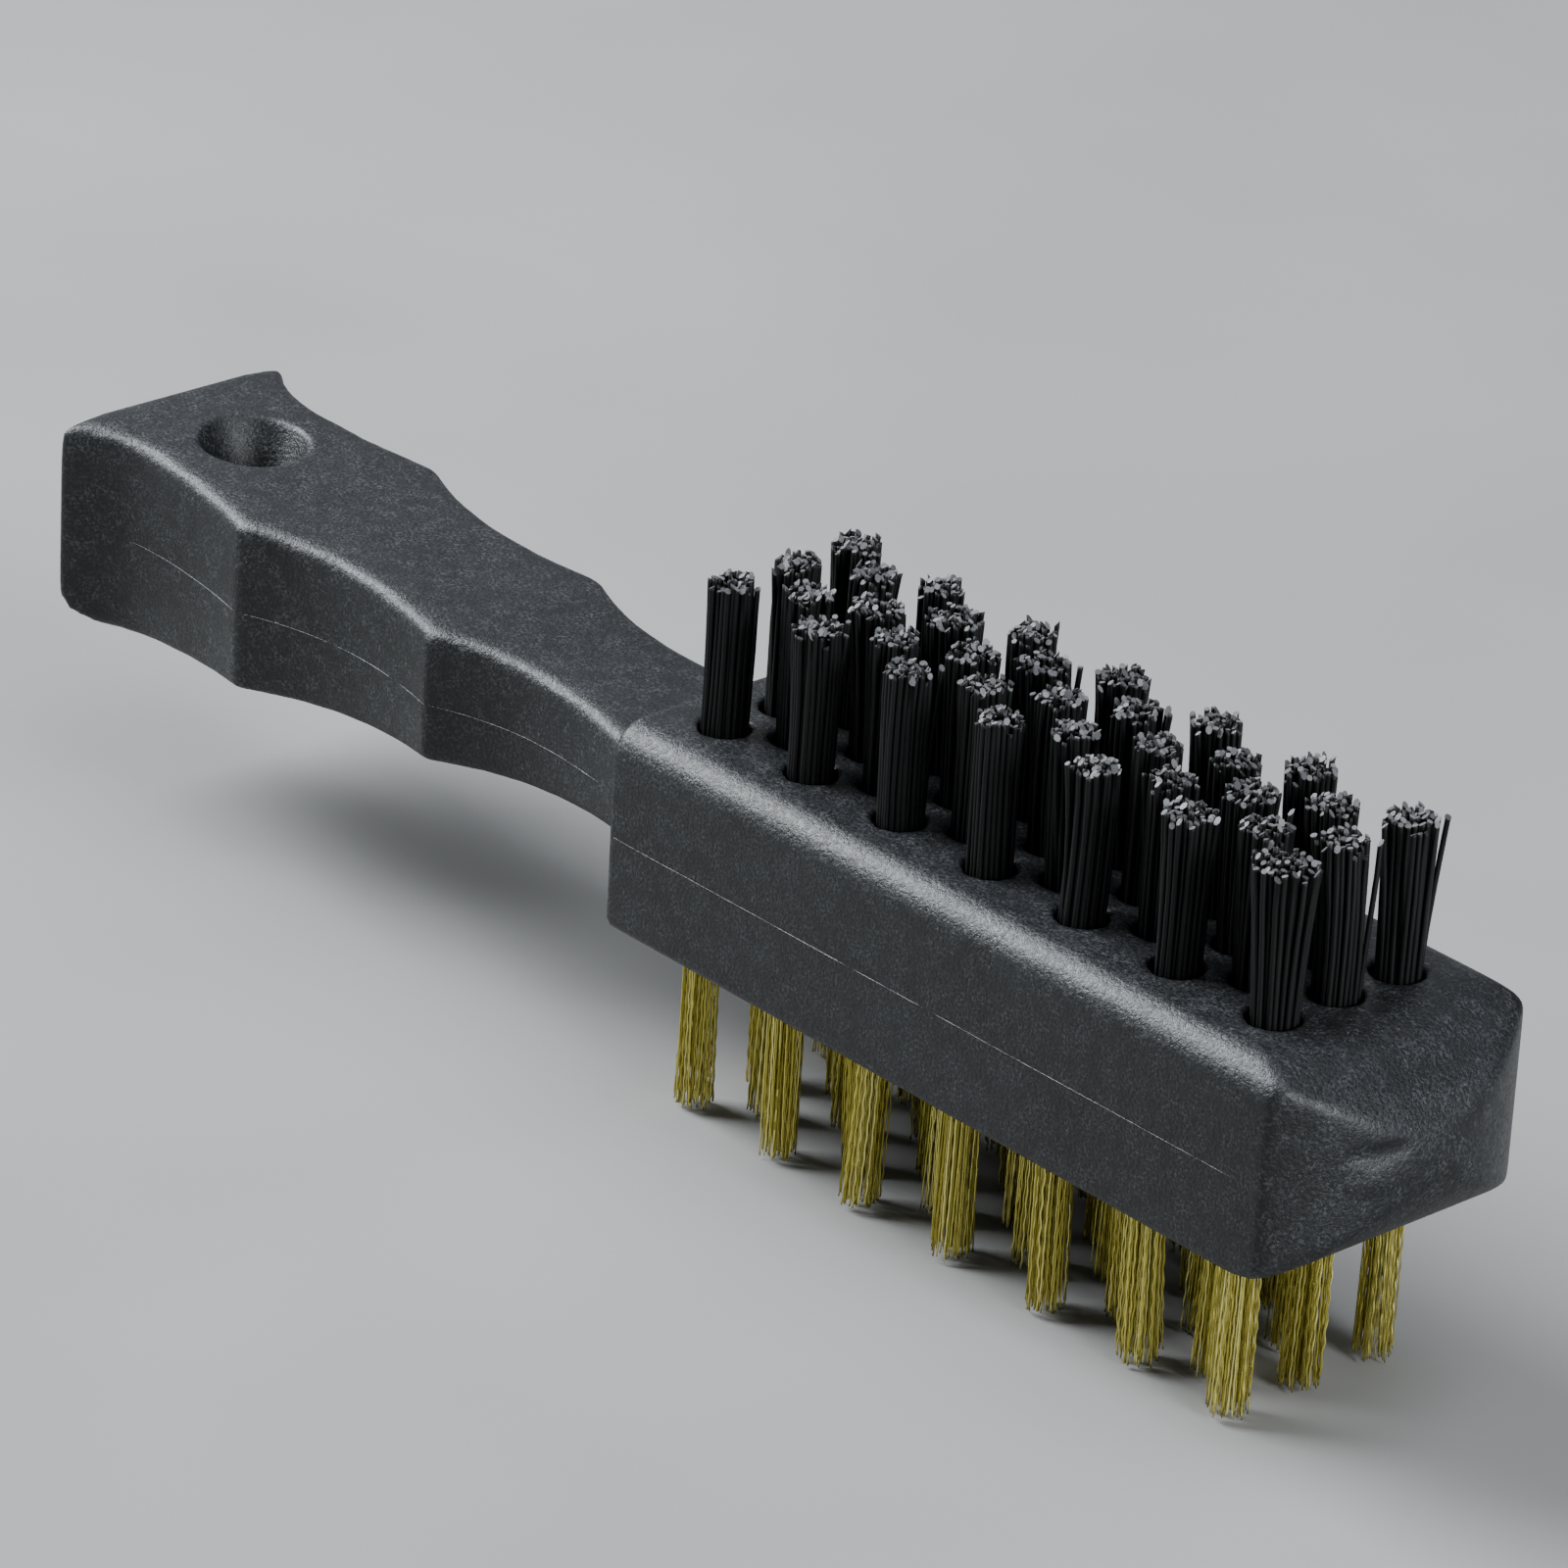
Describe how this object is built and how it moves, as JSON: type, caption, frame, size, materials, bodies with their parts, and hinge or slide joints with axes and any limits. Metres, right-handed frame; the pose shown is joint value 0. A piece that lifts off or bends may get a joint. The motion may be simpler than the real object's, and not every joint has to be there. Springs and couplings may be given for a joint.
{
  "type": "two-sided club groove cleaning brush",
  "caption": "Hand brush for cleaning golf club faces and grooves: nylon tufts on one side of the head, crimped brass wire tufts on the other, and a finger-grooved handle with a hanging hole.",
  "frame": {"origin": "on the ground under the middle of the whole brush, at the level of the brass tips", "axes": "+X from the handle towards the nose, +Y across the brush, +Z from the brass side up to the nylon side"},
  "size_m": [0.1494, 0.026, 0.0452],
  "materials": {
    "black_plastic": "fine spark-eroded grain, slightly satin",
    "nylon_filament": "drawn filament, satin, cut ends",
    "brass_wire": "fine crimped wire, bright",
    "staple_wire": "flat drawn wire"
  },
  "bodies": {
    "root": {"moulded_body": "black_plastic", "nylon_tufts_row_1": "nylon_filament", "brass_tufts_row_1": "brass_wire", "nylon_staples_row_1": "staple_wire", "brass_staples_row_1": "staple_wire", "nylon_tufts_row_2": "nylon_filament", "brass_tufts_row_2": "brass_wire", "nylon_staples_row_2": "staple_wire", "brass_staples_row_2": "staple_wire", "nylon_tufts_row_3": "nylon_filament", "brass_tufts_row_3": "brass_wire", "nylon_staples_row_3": "staple_wire", "brass_staples_row_3": "staple_wire", "nylon_tufts_row_4": "nylon_filament", "brass_tufts_row_4": "brass_wire", "nylon_staples_row_4": "staple_wire", "brass_staples_row_4": "staple_wire", "nylon_tufts_row_5": "nylon_filament", "brass_tufts_row_5": "brass_wire", "nylon_staples_row_5": "staple_wire", "brass_staples_row_5": "staple_wire"}
  },
  "joints": []
}
